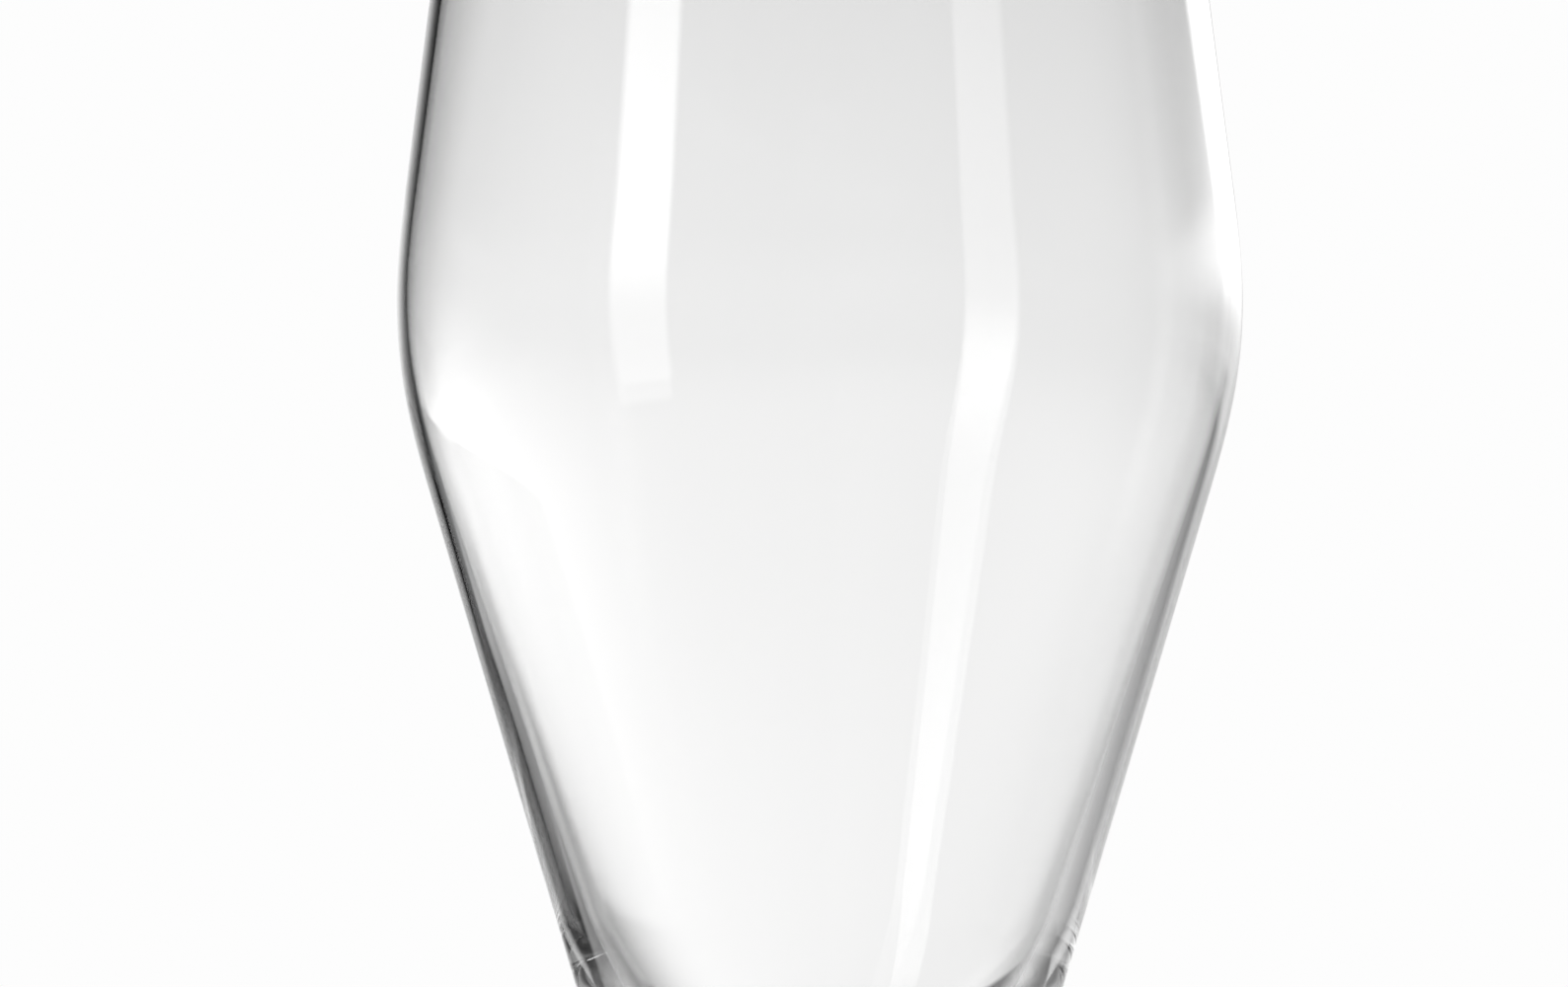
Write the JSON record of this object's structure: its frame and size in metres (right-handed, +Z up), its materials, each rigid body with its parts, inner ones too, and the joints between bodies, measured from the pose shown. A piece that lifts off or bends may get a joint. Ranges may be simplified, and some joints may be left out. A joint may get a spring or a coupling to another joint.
{
  "type": "sparkling wine glass",
  "caption": "Stemmed sparkling-wine glass in clear glass: a tall bowl with an angular belly and a rounded lip, drawn into a slim stem on a round foot.",
  "frame": {"origin": "centre of the foot's standing ring, on the surface that the glass stands on", "axes": "+Z up along the glass's axis, towards the rim; the glass is round, so X and Y are free"},
  "size_m": [0.072, 0.072, 0.2396],
  "materials": {
    "bowl_glass": "clear, fire-polished",
    "stem_glass": "clear, fire-polished",
    "foot_glass": "clear, fire-polished"
  },
  "bodies": {
    "root": {"bowl": "bowl_glass", "stem": "stem_glass", "foot": "foot_glass"}
  },
  "joints": []
}
